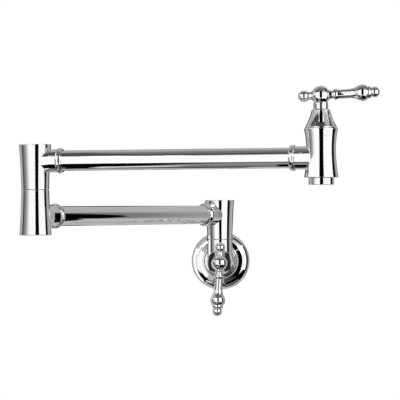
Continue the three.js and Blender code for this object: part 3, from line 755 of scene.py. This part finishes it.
# Turned handle about +Z: its outline up to the groove, then the ball at its tip.
def turnedHandle(size):
    shaft = trace((0, size["outline"][0][1]), *size["outline"])
    radius, groove = size["ball"]["radius"], size["ball"]["groove"]
    tip = ballOutline(radius, size["ball"]["centre"], -math.acos(groove / radius), 24)
    return revolve(np.concatenate([shaft[:-1], tip]))


lever = turnedHandle(leverSize)
finial = turnedHandle(finialSize)

wallFrame = moved(0, -wallSeat, 0) @ outward
topFrame = spoutFrame @ moved(0, 0, spoutSeat)
wallFoot = wallBody["radius"] - gap
topFoot = spout["rimRadius"] - spout["bonnetInset"]

# Name, bodies of the bonnet and the handle, frame, radius of the bonnet's foot, lever's angle.
for name, fixed, turning, matrix, foot, leverAngle in (
    ("wall", "wall_unit", "wall_handle", wallFrame, wallFoot, -93),
    ("spout", "upper_arm", "spout_handle", topFrame, topFoot, 0),
):
    hubFrame = matrix @ turned(leverAngle, "Z")
    ballFrame = hubFrame @ moved(0, 0, ballHeight) @ turned(-lift, "Y")
    addPiece(name + "_bonnet", fixed, matrix, bonnet(foot))
    addPiece(name + "_hub", turning, hubFrame, hub())
    addPiece(name + "_lever", turning, ballFrame @ turned(90, "Y"), lever)
    addPiece(name + "_finial", turning, ballFrame @ turned(-90, "Y"), finial)

print("valves done")


# Studio, in metres.

# A glowing panel that only reflections see, no lamp: its greys are painted reflections on the chrome. Its grey
# runs from its first corner to its second.
def reflector(name, corners, stops):
    mesh = bpy.data.meshes.new(name)
    mesh.from_pydata(corners, [], [(0, 1, 2, 3)])
    along = mesh.attributes.new("along", "FLOAT", "POINT")
    along.data.foreach_set("value", [0.0, 1.0, 1.0, 0.0])
    material, tree = blank(name + "_paint")
    ramp = add(tree, "ShaderNodeValToRGB", {
        "Fac": add(tree, "ShaderNodeAttribute", attribute_name="along").outputs["Fac"],
    })
    while len(ramp.color_ramp.elements) < len(stops):
        ramp.color_ramp.elements.new(0.5)
    for element, (position, grey) in zip(ramp.color_ramp.elements, stops):
        element.position = position
        element.color = linear(grey * 0x010101)
    glow = add(tree, "ShaderNodeEmission", {"Color": ramp.outputs["Color"], "Strength": 1.0})
    add(tree, "ShaderNodeOutputMaterial", {"Surface": glow.outputs["Emission"]})
    mesh.materials.append(material)
    panel = bpy.data.objects.new(name, mesh)
    bpy.context.scene.collection.objects.link(panel)
    panel.visible_camera = False
    panel.visible_diffuse = False
    panel.visible_shadow = False
    panel.visible_transmission = False


# Corners of an upright panel over the line between two points.
def standing(first, second, bottom, top):
    return [(*first, bottom), (*second, bottom), (*second, top), (*first, top)]


# Corners of a level panel, whose grey runs from the first value of y to the second.
def level(west, east, first, second, height):
    return [
        (west, first, height), (west, second, height),
        (east, second, height), (east, first, height),
    ]


# Corners of a level panel of any shape.
def sheet(height, *corners):
    return [(x, y, height) for x, y in corners]


def plain(grey):
    return [(0, grey), (1, grey)]


# Each panel is its corners and its stops of (position, grey), a painted reflection on the chrome. Where two level
# panels overlap, the one nearer to the object hides the other.
# Wall, roof, floor, canopy and window in the panels' names only tell where each panel stands.
black = plain(0x05)
reflectors = (
    # In front: painted reflection of the narrow dark lines down the uprights, the bonnets and the balls.
    ("front_strip", standing((-0.11, -1.05), (0.3, -1.05), -0.295, 0.6), black),
    ("high_strip", standing((-0.15, -1.05), (0.36, -1.05), 0.6, 1.6), black),
    # Right and left: painted reflection of the uprights' sides.
    ("right_flag",
     [(0.69, -0.35, -0.295), (0.69, -0.03, -0.295), (0.69, -0.11, 0.42), (0.69, -0.35, 0.42)],
     black),
    ("right_wall", standing((0.691, -0.12), (0.691, 1.2), -0.295, 0.45),
     [(0, 0x70), (0.06, 0x7A), (0.13, 0x9A), (0.25, 0xAE), (0.6, 0xB4), (0.68, 0x30), (1, 0x20)]),
    ("left_wall", standing((-0.9, -1.1), (-0.9, -0.18), -0.29, 0.22),
     [(0, 0xFC), (0.19, 0xE6), (0.3, 0xDC), (0.38, 0xCA),
      (0.52, 0xAF), (0.7, 0x8B), (0.84, 0x7A), (1, 0x66)]),
    ("left_line", standing((-0.9, -0.18), (-0.9, -0.04), -0.29, 0.22), plain(0x10)),
    ("left_back", standing((-0.901, -0.06), (-0.901, 1.2), -0.295, 0.45),
     [(0, 0xAA), (0.7, 0xB4), (0.78, 0x30), (1, 0x20)]),
    # Behind: painted reflection of the grey rims of everything round.
    ("back_wall", standing((-0.9, 1.2), (0.69, 1.2), -0.295, 0.45),
     [(0, 0x20), (0.35, 0x30), (0.42, 0xB0), (0.7, 0xB0), (0.77, 0x30), (1, 0x20)]),
    # Above: painted reflection of the upper bands of the tubes, and of the bonnets.
    ("roof", level(-0.9, 0.69, -0.22, 1.2, 0.451),
     [(0, 0xA0), (0.1, 0xAE), (0.42, 0xB4), (0.5, 0x30), (1, 0x20)]),
    ("canopy_rear", level(-0.25, 0.26, -0.22, -0.56, 0.45),
     [(0, 0x98), (0.24, 0x78), (0.68, 0x6C), (0.82, 0x50), (1, 0x38)]),
    ("canopy_left", level(-0.32, -0.2, -0.22, -0.56, 0.4495),
     [(0, 0x98), (0.12, 0x50), (0.2, 0x38), (0.45, 0x60), (0.75, 0x28), (1, 0x50)]),
    ("canopy_front", level(-0.25, -0.03, -0.56, -0.9, 0.45),
     [(0, 0x38), (0.1, 0x38), (0.22, 0x60), (0.4, 0xC0), (0.7, 0xFF)]),
    ("left_canopy", level(-0.9, -0.25, -0.22, -0.75, 0.45), [(0, 0xB0), (1, 0xD0)]),
    ("right_canopy", level(0.26, 0.6, -0.36, -0.9, 0.45), [(0, 0xA0), (0.6, 0xC0), (1, 0xF8)]),
    # Beside the wall flange: painted highlight on the light left half of its rings.
    ("flange_card", standing((-0.085, -0.05), (-0.085, -0.005), -0.1, 0.025), plain(0xFF)),
    # Below: painted reflection of the lower bands and streaks of the tubes, and of the flange's dark arcs.
    ("floor_front", level(-0.9, 0.69, -0.77, -0.15, -0.294),
     [(0, 0x58), (0.15, 0x60), (0.29, 0x75), (0.45, 0x9A), (0.6, 0x7B), (0.92, 0x70), (1, 0x90)]),
    ("floor_line", level(-0.9, 0.69, -0.15, -0.12, -0.294), plain(0x38)),
    ("floor_back", level(-0.9, 0.69, -0.12, 1.2, -0.294),
     [(0, 0xBA), (0.3, 0xB4), (0.38, 0x30), (1, 0x20)]),
    ("low_left_flag",
     sheet(-0.29, (-0.14, -0.65), (-0.42, -0.75), (-0.6, -0.25), (-0.2, -0.31)), black),
    ("low_back_flag", level(-0.27, -0.2, -0.32, -0.125, -0.2905), black),
    ("low_flag",
     sheet(-0.29, (-0.025, -0.43), (0.012, -0.43), (0.057, -0.16), (0.02, -0.16)), black),
    # Lighter patches of painted reflection on the roof and the floor panels, at the back.
    ("roof_painted_patch", level(0, 0.2, 0.4, 1.2, 0.4505), plain(0xB4)),
    ("floor_painted_patch", level(-0.08, 0.14, 0.22, 1.2, -0.2935), plain(0xB4)),
    # Below again: painted reflection of streaks of the upper tube, and more of the flange's dark arcs.
    ("low_tube_line",
     sheet(-0.2925, (-0.18, -0.19), (-0.01, -0.2), (-0.01, -0.04), (-0.18, -0.11)), plain(0x18)),
    ("low_tube_card",
     sheet(-0.2895, (-0.215, -0.33), (-0.12, -0.39), (-0.12, -0.26), (-0.215, -0.24)),
     [(0, 0xFF), (1, 0xC0)]),
    ("low_right_flag", level(0.26, 0.69, -0.7, -0.12, -0.291), black),
    ("low_rear_flag",
     sheet(-0.292, (0.04, -0.13), (0.69, -0.13), (0.69, -0.06), (0.04, -0.05)),
     [(0, 0x50), (0.15, 0x38), (0.35, 0x10), (1, 0x10)]),
    ("low_line", sheet(-0.292, (0.09, 0.02), (0.28, 0.24), (0.305, 0.23), (0.115, 0.01)),
     [(0, 0x50), (1, 0x68)]),
    ("low_middle_flag", level(0.05, 0.26, -1.5, -0.24, -0.291), black),
    # Above again: a painted dark patch of reflection on the right.
    ("high_flag", level(0.26, 0.69, -0.36, -0.14, 0.449), black),
)
for details in reflectors:
    reflector(*details)

# Pale floor well below the arm, out of the main view.
floorSize = {"side": 1.6, "near": -2.0, "far": 1.2, "height": -0.3}
floorMaterial = surface(
    "pale_floor_paint", (0xF4F4F2, 0xFAFAF9), 0, (0.6, 0.7), 400, 60, 0.05,
)
side, near, far = floorSize["side"], floorSize["near"], floorSize["far"]
floorPoints = np.array(
    sheet(floorSize["height"], (-side, near), (side, near), (side, far), (-side, far)),
)
floor = addMesh("floor", floorPoints, [np.array([[0, 1, 2, 3]])], floorMaterial)

# White all round for the camera and for reflections, a little softer as a light.
light = {"colour": 0xFFFFFF, "seen": 1.0, "soft": 0.85}
world = bpy.data.worlds.new("white_room")
bpy.context.scene.world = world
world.use_nodes = True
tree = world.node_tree
tree.nodes.clear()
rays = add(tree, "ShaderNodeLightPath").outputs
seen = add(tree, "ShaderNodeMath", {
    0: rays["Is Camera Ray"], 1: rays["Is Glossy Ray"],
}, operation="MAXIMUM")
seen = add(tree, "ShaderNodeMath", {
    0: seen.outputs[0], 1: rays["Is Transmission Ray"],
}, operation="MAXIMUM")
soft, clear = (
    add(tree, "ShaderNodeBackground", {
        "Color": linear(light["colour"]), "Strength": light[strength],
    }).outputs[0]
    for strength in ("soft", "seen")
)
mixed = add(tree, "ShaderNodeMixShader", {"Fac": seen.outputs[0], 1: soft, 2: clear})
add(tree, "ShaderNodeOutputWorld", {"Surface": mixed.outputs[0]})

# Name, place, watts and width of each lamp. All face the middle of the arms.
lamps = (
    ("key_lamp", (-0.9, -1.5, 1.1), 9, 0.7),
    ("fill_lamp", (1.1, -1.3, 0.7), 5, 0.7),
)
target = Vector((0, -0.2, 0.08))
for name, place, power, size in lamps:
    lamp = bpy.data.lights.new(name, "AREA")
    lamp.energy = power
    lamp.size = size
    holder = bpy.data.objects.new(name, lamp)
    holder.location = place
    aim = target - Vector(place)
    holder.rotation_euler = aim.to_track_quat("-Z", "Y").to_euler()
    bpy.context.scene.collection.objects.link(holder)

# Camera: looking slightly up and a little from the right. Angles in degrees.
view = {
    "place": (0.0271, -2.2002, 0.0541), "yaw": 1.282, "pitch": 0.322, "roll": 0.376,
    "lens": 181.1, "sensor": 36,
}
yaw, pitch, roll = (math.radians(view[angle]) for angle in ("yaw", "pitch", "roll"))
forward = Vector((
    -math.sin(yaw) * math.cos(pitch), math.cos(yaw) * math.cos(pitch), math.sin(pitch),
))
right = Vector((math.cos(yaw), math.sin(yaw), 0))
up = right.cross(forward)
cameraRight = right * math.cos(roll) - up * math.sin(roll)
cameraUp = right * math.sin(roll) + up * math.cos(roll)
cameraData = bpy.data.cameras.new("camera")
cameraData.lens = view["lens"]
cameraData.sensor_width = view["sensor"]
camera = bpy.data.objects.new("camera", cameraData)
turn = Matrix((cameraRight, cameraUp, -forward)).transposed().to_4x4()
camera.matrix_world = Matrix.Translation(view["place"]) @ turn
bpy.context.scene.collection.objects.link(camera)
bpy.context.scene.camera = camera
bpy.context.scene.view_settings.view_transform = "Standard"

print("studio done")

print("scene done")
